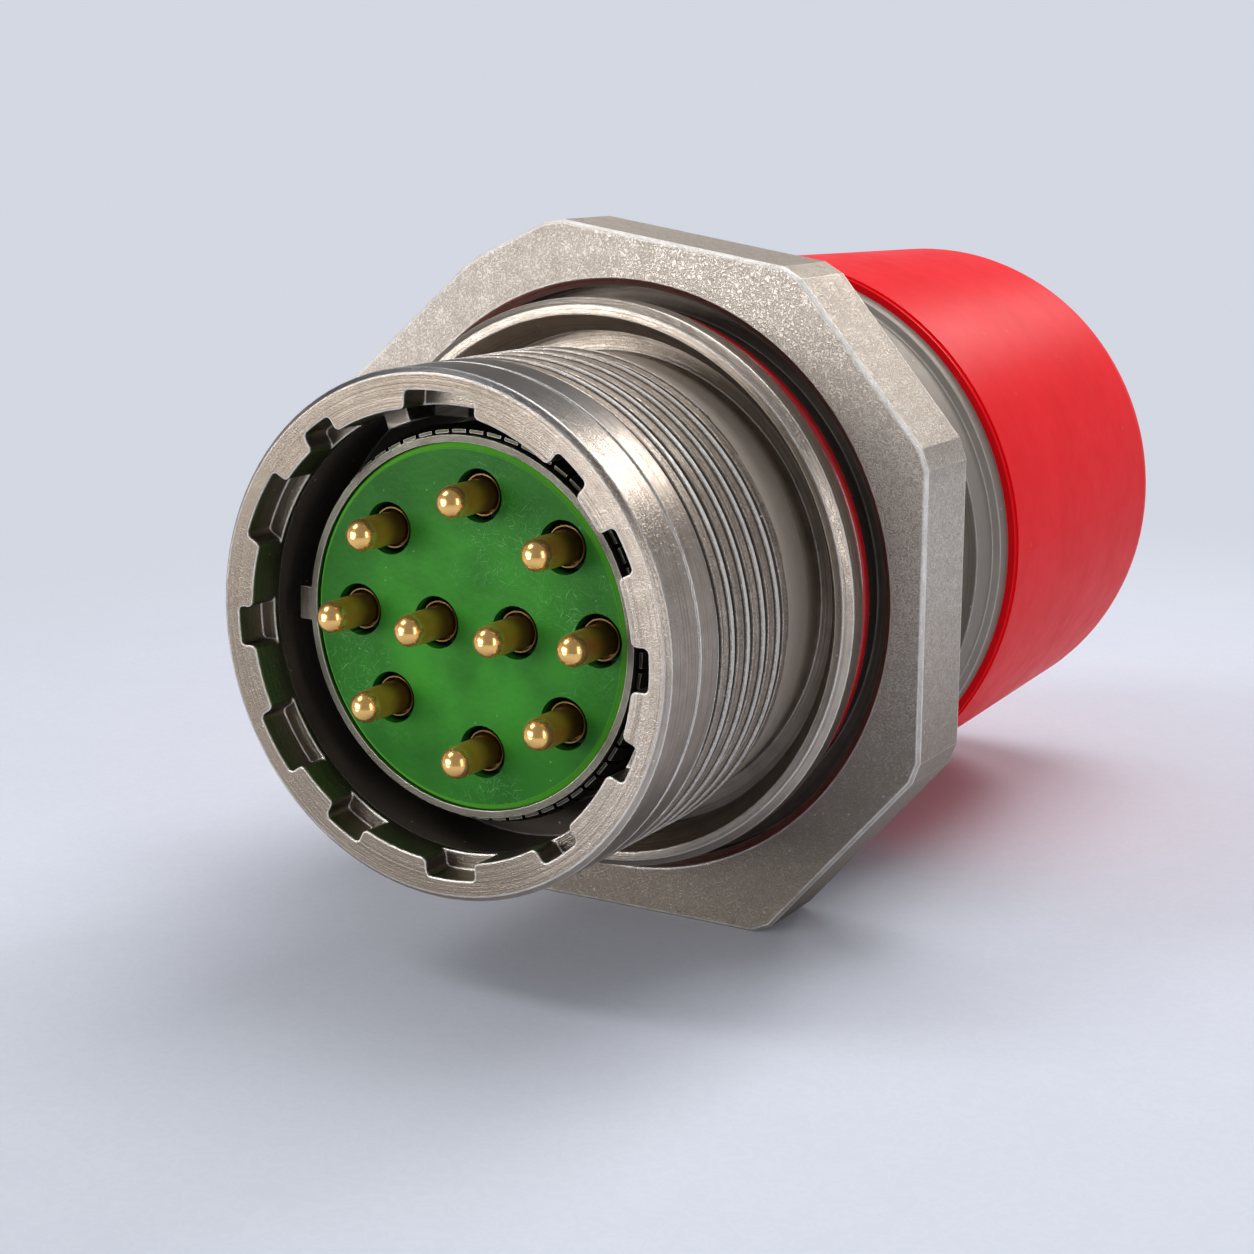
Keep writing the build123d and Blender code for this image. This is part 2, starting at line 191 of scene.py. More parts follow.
def in_units(tree, vector, unit_mm):
    """A place counted in units of so many millimetres, to look up a noise with."""
    scale = calc(tree, "DIVIDE", 1 / MM, unit_mm)
    return put(tree, "VectorMath", {0: vector, "Scale": scale}, operation="SCALE").outputs[0]


MEASURES = ["Radius", "Along", "Across", "Up"]
ruler, given, result = new_group("axis_ruler", {"Vector": None}, MEASURES)
parts = put(ruler, "SeparateXYZ", {0: given["Vector"]}).outputs
flat = put(ruler, "CombineXYZ", {0: parts[0], 2: parts[2]}).outputs[0]
length = put(ruler, "VectorMath", {0: flat}, operation="LENGTH").outputs["Value"]
for label, value in zip(MEASURES, (length, parts[1], parts[0], parts[2])):
    ruler.links.new(times(ruler, value, 1 / MM), result[label])
print("group", ruler.name)

# %% [markdown]
# Turning leaves fine rings: round a cylinder they lie side by side along the axis, and on a face
# they are circles. A wave texture would be too even, so the rings are noise looked up by radius and
# place along the axis. A slow change round the axis lets a ring fade in and out.

# %% Group: turned rings
ring_inputs = {"Vector": None, "Spacing": 0.1, "Waver": 2.0}
rings, given, result = new_group("turned_rings", ring_inputs, ["Height"])
measure = place(rings, ruler, Vector=given["Vector"])
around_x, around_z = (
    times(rings, calc(rings, "DIVIDE", measure[label], measure["Radius"]), given["Waver"])
    for label in ("Across", "Up")
)
lookup = put(rings, "CombineXYZ", {
    0: calc(rings, "DIVIDE", measure["Radius"], given["Spacing"]),
    1: calc(rings, "DIVIDE", measure["Along"], given["Spacing"]),
    2: around_x,
}).outputs[0]
noise = put(rings, "TexNoise", {"Vector": lookup, "W": around_z, "Scale": 1.0, "Detail": 2.0,
                                "Roughness": 0.65}, noise_dimensions="4D")
rings.links.new(noise.outputs["Fac"], result["Height"])
print("group", rings.name)

# %% [markdown]
# The flange was blasted with fine beads before it was passivated. Close up, that skin looks like
# short worms with narrow gaps. Ridges of a bent noise give the same: the ridge lies where the
# noise passes its middle value, and the bend comes from the noise's own distortion.

# %% Group: blasted grain
grain, given, result = new_group("blasted_grain", {"Vector": None, "Size": 0.3}, ["Height"])
scaled = in_units(grain, given["Vector"], given["Size"])
worms = put(grain, "TexNoise", {"Vector": scaled, "Scale": 1.0, "Detail": 1.0,
                                "Distortion": 1.4}).outputs["Fac"]
ridge = calc(grain, "ABSOLUTE", calc(grain, "SUBTRACT", worms, 0.5))
dots = put(grain, "TexNoise", {"Vector": scaled, "Scale": 2.6, "Detail": 2.0}).outputs["Fac"]
height = plus(grain, mask(grain, ridge, 0.0, 0.14), (dots, 0.35))
grain.links.new(height, result["Height"])
print("group", grain.name)

# %% [markdown]
# Handling polishes the outer edges of a hard piece until they shine. A Bevel node gives the normal
# that the surface would have if its edges were rounded, and where that differs from the true normal
# there is an edge. A noise thins the line here and there, because wear is never even. The rounded
# normal is passed on too, so that an edge also turns towards the lamps as a real one does.

# %% Group: worn edges
edge_inputs = {"Vector": None, "Width": 0.15, "Breakup": 1.5}
edges, given, result = new_group("worn_edges", edge_inputs, ["Mask", "Normal"])
reach = times(edges, given["Width"], MM)
rounded = put(edges, "Bevel", {"Radius": reach}, samples=6).outputs[0]
plain = put(edges, "NewGeometry").outputs["Normal"]
likeness = put(edges, "VectorMath", {0: rounded, 1: plain},
               operation="DOT_PRODUCT").outputs["Value"]
edges.links.new(rounded, result["Normal"])
found = mask(edges, likeness, 0.996, 0.955)
scaled = in_units(edges, given["Vector"], given["Breakup"])
patches = put(edges, "TexNoise", {"Vector": scaled, "Scale": 1.0, "Detail": 3.0}).outputs["Fac"]
share = put(edges, "MapRange", {"Value": patches, "From Min": 0.3, "From Max": 0.6,
                                "To Min": 0.60}).outputs[0]
edges.links.new(times(edges, found, share), result["Mask"])
print("group", edges.name)

# %% [markdown]
# Three more groups: slow clouds for tone that drifts over a surface, small bright specks such as
# dust or pits, and hair-thin scratches. A scratch is noise that is stretched many times over along
# one direction and kept only near its peaks; five directions together look handled.

# %% Groups: clouds, specks and scratches
cloud, given, result = new_group("slow_cloud", {"Vector": None, "Size": 4.0}, ["Value"])
scaled = in_units(cloud, given["Vector"], given["Size"])
drifting = put(cloud, "TexNoise", {"Vector": scaled, "Scale": 1.0, "Detail": 3.0}).outputs["Fac"]
cloud.links.new(drifting, result["Value"])

speck_inputs = {"Vector": None, "Size": 0.6, "Share": 0.3}
specks, given, result = new_group("fine_specks", speck_inputs, ["Mask"])
scaled = in_units(specks, given["Vector"], given["Size"])
cells = put(specks, "TexVoronoi", {"Vector": scaled, "Scale": 1.0})
chance = put(specks, "SeparateColor", {0: cells.outputs["Color"]}).outputs[0]
dot = mask(specks, cells.outputs["Distance"], 0.16, 0.05)
kept = calc(specks, "LESS_THAN", chance, given["Share"])
specks.links.new(times(specks, dot, kept), result["Mask"])

SCRATCH_DIRECTIONS = (8.0, 43.0, 77.0, 118.0, 159.0)
scratch_inputs = {"Vector": None, "Length": 5.0, "Width": 0.05}
scratches, given, result = new_group("hair_scratches", scratch_inputs, ["Mask"])
total = 0.0
for degrees in SCRATCH_DIRECTIONS:
    turned = put(scratches, "VectorRotate",
                 {"Vector": given["Vector"], "Angle": math.radians(degrees)},
                 rotation_type="Y_AXIS").outputs[0]
    measure = place(scratches, ruler, Vector=turned)
    stretched = put(scratches, "CombineXYZ", {
        0: calc(scratches, "DIVIDE", measure["Across"], given["Length"]),
        2: calc(scratches, "DIVIDE", measure["Up"], given["Width"]),
    }).outputs[0]
    streak = put(scratches, "TexNoise", {"Vector": stretched, "Scale": 1.0, "Detail": 1.0,
                                         "Distortion": 0.7}).outputs["Fac"]
    total = largest(scratches, mask(scratches, streak, 0.67, 0.75), total)
scratches.links.new(total, result["Mask"])
print("groups", cloud.name, specks.name, scratches.name)

# %% [markdown]
# Now the finishes. Each material starts the same way: a Principled shader with its constant values
# on its own sockets, and the object's own coordinates, which stay with a piece when it moves.

# %% Starting a finish
def finish(name, **constants):
    """A new material. Gives it, its tree, its shader and the object coordinates."""
    material = bpy.data.materials.new(name)
    material.use_nodes = True
    tree = material.node_tree
    shader = tree.nodes["Principled BSDF"]
    for key, value in constants.items():
        shader.inputs[key.replace("_", " ")].default_value = value
    return material, tree, shader, put(tree, "TexCoord").outputs["Object"]


def feed(tree, shader, **links):
    """Links values that change over the surface to the shader."""
    for key, value in links.items():
        tree.links.new(value, shader.inputs[key.replace("_", " ")])


def emboss(tree, height, depth_mm, under=None):
    """Normal that a height from 0 to 1 gives, where 1 stands depth_mm proud."""
    values = {"Height": height, "Distance": depth_mm * MM, "Strength": 1.0}
    if under is not None:
        values["Normal"] = under
    return put(tree, "Bump", values).outputs[0]


def zone_masks(tree, at, table):
    """A mask for each zone of a table.

    A zone is a list of limits, and its mask is the product of theirs. A limit names a measure of
    the ruler and two stations in millimetres: where its mask is 0, and from where it is 1.
    """
    masks = {}
    for name, limits in table.items():
        passed = [mask(tree, at[label], outside, inside) for label, outside, inside in limits]
        masks[name] = times(tree, *passed)
    return masks


# %% [markdown]
# The shell is one piece of stainless steel, but its zones were finished differently. The flange is
# blasted, and its rim is rubbed bright, with a painted highlight that is strongest at the top. The
# mating lip, the two front bands and the neck keep their turning marks, finer on the bands, which
# are almost smooth. Inside, and in the recess behind the collar, the steel is duller and painted
# darker as shade. The zones could be painted by hand into an attribute. Here a table of stations
# on the ruler tells them apart instead, because it can be read and corrected, and so one material
# serves the whole shell.

# %% Zones of the shell
ON_FLANGE = ("Radius", 16.55, 16.75)
IN_FRONT_OF_THREAD = ("Along", -12.70, -12.85)
BEHIND_FLANGE = ("Along", 5.25, 5.45)
SHELL_ZONES = {
    "flange": [ON_FLANGE],
    "flange_low_shade": [ON_FLANGE, ("Up", 3.0, -13.0)],
    "calm_shaded_flange": [ON_FLANGE, ("Across", 5.0, -5.0), ("Up", 3.0, 11.0)],
    "upper_flats_shade": [ON_FLANGE, ("Along", 0.15, 0.35), ("Up", 6.0, 9.0), ("Across", -12.0, 9.0)],
    "rim": [("Radius", 17.0, 17.2), ("Along", 0.02, 0.05), ("Along", 0.24, 0.17)],
    "lip": [("Along", -17.40, -17.46), ("Radius", 13.16, 13.10)],
    "lip_wall": [("Along", -17.42, -17.25), ("Radius", 12.45, 12.35)],
    "cavity": [("Along", -15.45, -14.60), ("Radius", 12.30, 12.10)],
    "lug": [("Across", -5.0, -4.9), ("Across", -2.8, -2.9), ("Up", 9.9, 10.0),
            ("Radius", 11.99, 11.97)],
    "band": [IN_FRONT_OF_THREAD, ("Radius", 13.1, 13.2)],
    "band_top_reflection": [IN_FRONT_OF_THREAD, ("Radius", 13.1, 13.2), ("Up", 9.0, 12.8)],
    "neck": [("Along", -5.2, -5.0), ("Along", -0.8, -1.6), ("Radius", 13.8, 13.6)],
    "recess": [("Along", 0.1, 0.9), ("Radius", 16.68, 16.62)],
    "undercut": [("Along", -2.6, -0.9), ("Radius", 15.02, 14.90), ("Radius", 12.9, 13.8)],
    "rear": [BEHIND_FLANGE],
    "rear_neck": [BEHIND_FLANGE, ("Radius", 15.3, 15.1)],
}
EDGE_TINT = (0.66, 0.64, 0.62, 1)

steel, tree, shader, coords = finish("passivated_steel", Specular_Tint=EDGE_TINT)
at = place(tree, ruler, Vector=coords)
zone = zone_masks(tree, at, SHELL_ZONES)
off_flange = calc(tree, "SUBTRACT", 1.0, zone["flange"])
off_lug = calc(tree, "SUBTRACT", 1.0, zone["lug"])
# Where painted shade darkens the steel: inside the bore, in the recess and in the undercut.
in_shade = largest(
    tree,
    times(tree, zone["cavity"], off_lug),
    times(tree, zone["recess"], 0.75),
    times(tree, zone["undercut"], 0.40),
)
print(len(zone), "zones on the shell")

# %% [markdown]
# The groups are placed once each, and the tone, the gloss and the relief all read the same ones.
# That keeps them together: where a ring is dark it is also a groove, and a rubbed edge is pale,
# smooth and rounded at once.

# %% Texture of the shell
skin = place(tree, grain, Vector=coords, Size=0.20)["Height"]
coarse_rings = place(tree, rings, Vector=coords, Spacing=0.13, Waver=1.0)["Height"]
fine_rings = place(tree, rings, Vector=coords, Spacing=0.06, Waver=1.0)["Height"]
wear = place(tree, edges, Vector=coords, Width=0.16, Breakup=1.6)
drift = place(tree, cloud, Vector=coords, Size=5.0)["Value"]
blotch = place(tree, cloud, Vector=coords, Size=1.1)["Value"]
dust = place(tree, specks, Vector=coords, Size=0.50, Share=0.10)["Mask"]

worm_lines = times(tree, mask(tree, skin, 1.05, 0.35), 0.46)
streak_share = plus(tree, 0.45, (zone["rear"], -0.35))
streaks = times(tree, mask(tree, coarse_rings, 0.52, 0.40), off_flange, streak_share)
# Painted highlight: the rim line is strongest at the top and weaker low down.
rim_highlight_share = spread(tree, mask(tree, at["Up"], -6.0, 6.0), 0.30, 1.0)
rim_wear_and_highlight = times(tree, zone["rim"], rim_highlight_share, spread(tree, blotch, 1.3, 0.2))
worn_and_highlit = largest(tree, wear["Mask"], rim_wear_and_highlight)
print("texture of", steel.name)

# %% [markdown]
# The tone is laid on in coats, as a painter would. The broad tones come first, the painted shade
# near the end, and the rubbed edges with the rim's painted highlight and the dust last. Several
# coats paint light and shade: the flange is painted darker low down, on its upper flats and on its
# calm upper left, and the lip darker towards the left and on its inner wall. The front bands are
# painted darker at the top, as a painted reflection of the dark above the studio. The neck, and
# the steel behind the flange, are painted lighter.

# %% Tone of the shell
WARM_STEEL = (0.52, 0.455, 0.395, 1)
BROWN_STEEL = (0.41, 0.345, 0.28, 1)
BLASTED_STEEL_AND_PAINTED_LIGHT = (0.90, 0.83, 0.75, 1)
NECK_PAINTED_LIGHT = (0.80, 0.70, 0.60, 1)
DARK_REFLECTION_STEEL = (0.15, 0.155, 0.16, 1)
WALL_SHADE_STEEL = (0.20, 0.175, 0.14, 1)
DARK_STEEL = (0.20, 0.165, 0.13, 1)
SHADED_STEEL = (0.085, 0.068, 0.052, 1)
PALE_STEEL = (0.96, 0.93, 0.89, 1)

lip_shade_share = plus(tree, 0.80, (mask(tree, at["Across"], 3.0, 10.5), -0.76))
rubbed_and_highlit = times(tree, worn_and_highlit, spread(tree, in_shade, 1.0, 0.25))
tone = layered(
    tree, WARM_STEEL,
    (spread(tree, drift, 0.0, 0.7), BROWN_STEEL),
    (spread(tree, blotch, -0.25, 0.55), DARK_STEEL),
    # The flange's blasted finish; behind the flange the same coat is painted light.
    (times(tree, largest(tree, zone["flange"], zone["rear"]), 0.55), BLASTED_STEEL_AND_PAINTED_LIGHT),
    (times(tree, zone["flange"], worm_lines), DARK_STEEL),
    # Painted shade: the flange darker low down.
    (times(tree, zone["flange_low_shade"], 0.78), DARK_STEEL),
    # Painted shade: the flange's upper flats darker.
    (times(tree, zone["upper_flats_shade"], 0.45), DARK_STEEL),
    (streaks, DARK_STEEL),
    # Painted light: the neck lighter.
    (times(tree, zone["neck"], 0.45), NECK_PAINTED_LIGHT),
    # Painted shade: the calm upper left of the flange darker.
    (times(tree, zone["calm_shaded_flange"], 0.16), DARK_STEEL),
    # Painted shade: the lip darker towards the left.
    (times(tree, zone["lip"], lip_shade_share), DARK_STEEL),
    # Painted reflection: the front bands darker at the top, mirroring the dark above.
    (times(tree, zone["band_top_reflection"], 0.85), DARK_REFLECTION_STEEL),
    # Painted shade on the lip's inner wall.
    (times(tree, zone["lip_wall"], off_lug, 0.75), WALL_SHADE_STEEL),
    (times(tree, in_shade, 0.88), SHADED_STEEL),
    # Rubbed edges carrying the rim's painted highlight, and dust.
    (largest(tree, rubbed_and_highlit, times(tree, dust, 0.5)), PALE_STEEL),
)
print("tone of", steel.name)

# %% [markdown]
# The relief has two layers: the rings, left out on the flange and faint on the bands, and over them
# the grain, strongest on the flange. Zones that mirror only dark things are made less metallic, and
# so are the rubbed edges, because a film of oxide scatters some light there.

# %% Gloss and relief of the shell
gloss = plus(
    tree, 0.25,
    (zone["flange"], 0.18),
    (zone["lip"], 0.07),
    (zone["calm_shaded_flange"], 0.10),
    (blotch, 0.14),
    (wear["Mask"], -0.08),
    (in_shade, 0.35),
)
ring_share = plus(tree, 1.0, (zone["band"], -0.75))
ring_height = times(tree, plus(tree, coarse_rings, (fine_rings, 0.4)), off_flange, ring_share)
normal = emboss(tree, ring_height, 0.022, under=wear["Normal"])
grain_share = plus(tree, 0.45, (zone["flange"], 0.75), (zone["lip"], -0.08))
grain_height = times(tree, skin, grain_share, spread(tree, zone["calm_shaded_flange"], 1.0, 0.40))
normal = emboss(tree, grain_height, 0.012, under=normal)
necks = largest(tree, zone["rear_neck"], zone["neck"])
shine = plus(tree, 1.0, (necks, -0.60), (in_shade, -0.55), (worn_and_highlit, -0.40))
feed(tree, shader, Base_Color=tone, Roughness=gloss, Metallic=shine, Normal=normal)
print("finish", steel.name)

# %% [markdown]
# The coupling thread has flat crests with a polished rear lip and narrow rounded roots between
# them. It can't be painted on: its grooves break the outline of the barrel. Sweeping a curve would
# work, but a grid gives full control: one profile, a pitch long, is carried along a helix, and each
# turn shares its rim with the next, so that no seam shows. Where the helix runs out of the threaded
# zone, its points are held on the zone's end, and the empty faces are left out.

# %% Helical thread
# A crease sharper than this isn't smoothed over. A face whose diagonals span less than this, in
# square metres, counts as empty.
SHARP_ANGLE = math.radians(20)
NO_AREA = 1e-12


def helix_points(profile, pitch, front, rear, hidden, phase, run_out, steps):
    """Points of the profile at every step round the helix, and how many steps there are.

    A point of the profile, at a distance u behind the helix and a radius r, lies at
    y = front - pitch + pitch * turns + u and at the angle phase - 360 degrees * turns. Beyond the
    front and rear stations y is held and r drops to the hidden radius. Over run_out before the
    rear station, r blends into the crest.
    """
    across, radius = np.array(profile)[:, :2].T
    turns = (rear - front) / pitch + 2.0
    along = np.arange(int(turns * steps) + 1) / steps
    y = (front - pitch + pitch * along)[:, None] + across[None, :]
    fade = np.clip((y - rear + run_out) / run_out, 0.0, 1.0)
    r = radius * (1 - fade) + np.maximum(radius, np.median(radius)) * fade
    past = np.maximum(front - y, y - rear)
    a_little = 0.2 * pitch / len(profile)
    r = np.where(past > a_little, hidden, r)
    angle = (phase - 2 * np.pi * along)[:, None]
    held = np.clip(y, front, rear)
    points = np.stack([r * np.cos(angle), held, r * np.sin(angle)], axis=-1).reshape(-1, 3) * MM
    return points, len(along)


def helix_faces(points, rows, count, steps):
    """Four corners of every face between neighbours on the helix, without the empty ones.

    The last point of a profile joins the first point of the same angle one turn on, which is
    steps rows later.
    """
    row = np.arange(rows - 1)[:, None]
    column = np.arange(count)[None, :]
    near = row * count + column
    beside = np.where(column == count - 1, (row + steps) * count, near + 1)
    quads = np.stack([near, beside, beside + count, near + count], axis=-1).reshape(-1, 4)
    quads = quads[quads.max(axis=1) < len(points)]
    one_way = points[quads[:, 2]] - points[quads[:, 0]]
    other_way = points[quads[:, 3]] - points[quads[:, 1]]
    return quads[np.linalg.norm(np.cross(one_way, other_way), axis=1) > NO_AREA]


def helical_thread(name, profile, pitch, front, rear, hidden, phase, run_out, steps=300):
    """Profile carried along a right-hand helix about the Y axis, in millimetres."""
    points, rows = helix_points(profile, pitch, front, rear, hidden, phase, run_out, steps)
    quads = helix_faces(points, rows, len(profile), steps)
    used, quads = np.unique(quads, return_inverse=True)
    quads = quads.reshape(-1, 4)

    mesh = bpy.data.meshes.new(name)
    mesh.vertices.add(len(used))
    mesh.vertices.foreach_set("co", points[used].ravel())
    mesh.loops.add(quads.size)
    mesh.loops.foreach_set("vertex_index", quads.ravel().astype(np.int32))
    mesh.polygons.add(len(quads))
    mesh.polygons.foreach_set("loop_start", np.arange(0, quads.size, 4, dtype=np.int32))
    mesh.polygons.foreach_set("use_smooth", np.ones(len(quads), dtype=bool))
    mesh.update(calc_edges=True)
    mesh.validate()
    mesh.set_sharp_from_angle(angle=SHARP_ANGLE)
    polish_and_light_values = np.tile(np.array(profile)[:, 2], rows)[used]
    rubbed_and_highlit = mesh.attributes.new("polish_and_light", "FLOAT", "POINT")
    rubbed_and_highlit.data.foreach_set("value", polish_and_light_values.astype(np.float32))
    piece = bpy.data.objects.new(name, mesh)
    bpy.context.scene.collection.objects.link(piece)
    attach(piece, "receptacle")
    print(name, len(mesh.polygons), "faces,", round((rear - front) / pitch, 1), "turns")
    return piece


# %% [markdown]
# The profile of the coupling thread is a pitch long. From front to rear it has a groove, a flat
# crest, a shallow step and the polished lip at the crest's rear edge. The groove and the step are
# painted dark as shade, and the lip carries a painted highlight.

# %% Coupling thread
# Behind the helix, radius, and polish and light: 1 where the steel is polished and carries a
# painted highlight, -1 where shade is painted.
COUPLING_PROFILE = [
    (0.00, 13.395, 0.9), (0.04, 13.36, -1.0), (0.10, 13.05, -1.0), (0.40, 13.04, -1.0),
    (0.48, 13.20, -1.0), (0.52, 13.30, -0.3), (0.56, 13.32, 0.5), (0.62, 13.31, 0.0),
    (0.80, 13.31, 0.0), (1.00, 13.31, 0.0), (1.12, 13.31, -0.2), (1.20, 13.29, -1.0),
    (1.31, 13.30, -1.0), (1.36, 13.395, 1.0), (1.58, 13.395, 1.0),
]
coupling_thread = helical_thread(
    "coupling_thread", COUPLING_PROFILE, pitch=1.62, front=-12.78, rear=-5.12, hidden=12.9,
    phase=math.radians(14.0), run_out=1.3,
)

# %% [markdown]
# The thread's steel is the shell's, with one more layer: an attribute that the profile carried
# along tells the polished lips of the crests, which get a painted highlight, from the roots, which
# get painted shade.

# %% Steel of the threads
CREST_STEEL = (0.80, 0.71, 0.62, 1)
STAINED_STEEL = (0.48, 0.41, 0.34, 1)
ROOT_SHADE = (0.035, 0.028, 0.022, 1)

thread_steel, tree, shader, coords = finish("thread_steel", Specular_Tint=EDGE_TINT)
polish_and_light = put(tree, "Attribute", attribute_name="polish_and_light").outputs["Fac"]
polished_highlit_lip = mask(tree, polish_and_light, 0.25, 0.95)
shaded_roots = mask(tree, polish_and_light, -0.25, -0.95)
coarse_rings = place(tree, rings, Vector=coords, Spacing=0.14, Waver=1.5)["Height"]
fine_rings = place(tree, rings, Vector=coords, Spacing=0.06, Waver=1.0)["Height"]
skin = place(tree, grain, Vector=coords, Size=0.22)["Height"]
blotch = place(tree, cloud, Vector=coords, Size=1.3)["Value"]
dust = place(tree, specks, Vector=coords, Size=0.5, Share=0.18)["Mask"]

# The polished lips also carry a painted highlight.
rubbed_and_highlit = times(tree, polished_highlit_lip, spread(tree, blotch, 1.0, 0.55))
tone = layered(
    tree, CREST_STEEL,
    (spread(tree, blotch, -0.1, 1.1), STAINED_STEEL),
    (times(tree, mask(tree, coarse_rings, 0.52, 0.38), 0.55), DARK_STEEL),
    (times(tree, mask(tree, skin, 1.02, 0.40), 0.55), DARK_STEEL),
    # Painted shade in the grooves and on the step.
    (times(tree, shaded_roots, 0.95), ROOT_SHADE),
    (largest(tree, rubbed_and_highlit, times(tree, dust, 0.6)), PALE_STEEL),
)
gloss = plus(tree, 0.24, (blotch, 0.18), (polished_highlit_lip, -0.10), (shaded_roots, 0.25))
shine = plus(tree, 1.0, (shaded_roots, -0.85), (polished_highlit_lip, -0.60))
ring_normal = emboss(tree, plus(tree, coarse_rings, (fine_rings, 0.4)), 0.035)
normal = emboss(tree, skin, 0.016, under=ring_normal)
feed(tree, shader, Base_Color=tone, Roughness=gloss, Metallic=shine, Normal=normal)
coupling_thread.data.materials.append(thread_steel)
print("finish", thread_steel.name)

# %% [markdown]
# Under the red cap the shell ends in a second, finer thread for a strain relief. It has plain
# sharp-looking crests, so the same function makes it from a simpler profile.

# %% Accessory thread
ACCESSORY_PROFILE = [
    (0.00, 14.86, 1.0), (0.10, 14.86, 0.8), (0.38, 14.52, 0.0), (0.50, 14.49, 0.0),
    (0.62, 14.52, 0.0), (0.90, 14.86, 0.6),
]
accessory_thread = helical_thread(
    "accessory_thread", ACCESSORY_PROFILE, pitch=1.0, front=25.1, rear=31.8, hidden=14.3,
    phase=0.0, run_out=0.8, steps=180,
)
accessory_thread.data.materials.append(thread_steel)

# %% [markdown]
# The sleeve round the green insert and the snap ring are smooth turned metal, darker than the
# shell. The sleeve's wide lip is painted darker still, as shade.

# %% Sleeve metal
SLEEVE = (0.21, 0.20, 0.16, 1)
SLEEVE_DULL = (0.13, 0.12, 0.095, 1)
SLEEVE_PITS = (0.18, 0.16, 0.13, 1)
SLEEVE_LIP_SHADE = (0.13, 0.11, 0.09, 1)

sleeve_metal, tree, shader, coords = finish("sleeve_metal", Metallic=1.0)
at = place(tree, ruler, Vector=coords)
fine_rings = place(tree, rings, Vector=coords, Spacing=0.05, Waver=4.0)["Height"]
skin = place(tree, grain, Vector=coords, Size=0.14)["Height"]
wear = place(tree, edges, Vector=coords, Width=0.07, Breakup=0.9)
drift = place(tree, cloud, Vector=coords, Size=1.2)["Value"]
tone = layered(
    tree, SLEEVE,
    (drift, SLEEVE_DULL),
    (times(tree, mask(tree, skin, 0.5, 0.1), 0.5), SLEEVE_PITS),
    # Painted shade on the sleeve's wide lip.
    (mask(tree, at["Radius"], 9.85, 10.1), SLEEVE_LIP_SHADE),
    (times(tree, wear["Mask"], 0.8), PALE_STEEL),
)
ring_normal = emboss(tree, fine_rings, 0.006, under=wear["Normal"])
normal = emboss(tree, skin, 0.006, under=ring_normal)
feed(tree, shader, Base_Color=tone, Roughness=spread(tree, drift, 0.34, 0.46), Normal=normal)
print("finish", sleeve_metal.name)

# %% [markdown]
# The spring fingers stand in shade: the strip is painted dark, with thin bright edges, and painted
# darker still towards their roots.

# %% Spring metal
SPRING_SHADED = (0.10, 0.105, 0.075, 1)
SPRING_DULL = (0.045, 0.045, 0.032, 1)
SPRING_ROOT_SHADE = (0.05, 0.045, 0.035, 1)
SPRING_EDGE = (0.70, 0.66, 0.60, 1)

spring_metal, tree, shader, coords = finish("spring_metal", Metallic=1.0)
at = place(tree, ruler, Vector=coords)
drift = place(tree, cloud, Vector=coords, Size=0.6)["Value"]
wear = place(tree, edges, Vector=coords, Width=0.05, Breakup=0.5)["Mask"]
tone = layered(
    # Painted shade: the strip's base colour is dark because the fingers stand in shade.
    tree, SPRING_SHADED,
    (spread(tree, drift, 0.1, 0.9), SPRING_DULL),
    # Painted shade, deeper towards the roots of the fingers.
    (mask(tree, at["Along"], -13.9, -12.6), SPRING_ROOT_SHADE),
    (times(tree, wear, 0.55), SPRING_EDGE),
)
feed(tree, shader, Base_Color=tone, Roughness=spread(tree, drift, 0.30, 0.48))
print("finish", spring_metal.name)

# %% [markdown]
# The pins are plated with gold and not polished: the shaft is satin along its length, and the round
# tip, rubbed by every mating, is brighter. Towards the well the plating is painted darker and
# greener, as shade and as a reflection of the moulding round it, and a thin ring at the well's
# mouth gets a painted highlight.

# %% Gold plate
GOLD = (0.74, 0.34, 0.060, 1)
GOLD_DULL = (0.52, 0.22, 0.032, 1)
GOLD_TIP = (1.0, 0.60, 0.20, 1)
GOLD_WELL_SHADE = (0.070, 0.050, 0.008, 1)
GOLD_MOUTH_HIGHLIGHT = (0.22, 0.14, 0.04, 1)
PIN_ZONES = {
    "tip": [("Along", -16.75, -16.95)],
    "near_well": [("Along", -16.2, -14.7)],
    "at_mouth": [("Along", -14.42, -14.39), ("Along", -14.33, -14.36)],
}

gold_plate, tree, shader, coords = finish("gold_plate")
zone = zone_masks(tree, place(tree, ruler, Vector=coords), PIN_ZONES)
drift = place(tree, cloud, Vector=coords, Size=0.5)["Value"]
fine_rings = place(tree, rings, Vector=coords, Spacing=0.09, Waver=1.0)["Height"]
tone = layered(
    tree, GOLD,
    (spread(tree, drift, 0.0, 0.6), GOLD_DULL),
    (zone["tip"], GOLD_TIP),
    # Painted shade and reflection: darker and greener towards the well.
    (times(tree, zone["near_well"], 0.80), GOLD_WELL_SHADE),
    # Painted highlight: a thin ring at the well's mouth.
    (zone["at_mouth"], GOLD_MOUTH_HIGHLIGHT),
)
gloss = plus(tree, spread(tree, drift, 0.28, 0.36), (zone["tip"], -0.10))
shine = spread(tree, zone["tip"], 0.66, 0.88)
normal = emboss(tree, fine_rings, 0.002)
feed(tree, shader, Base_Color=tone, Roughness=gloss, Metallic=shine, Normal=normal)
print("finish", gold_plate.name)

# %% [markdown]
# The insert is a hard green moulding, saturated, with painted shade that darkens it away from its
# middle and a painted highlight along its rim. Here and there its face carries faint hair scratches
# from plugs set down askew. The wells are dark, because their walls are in shade.

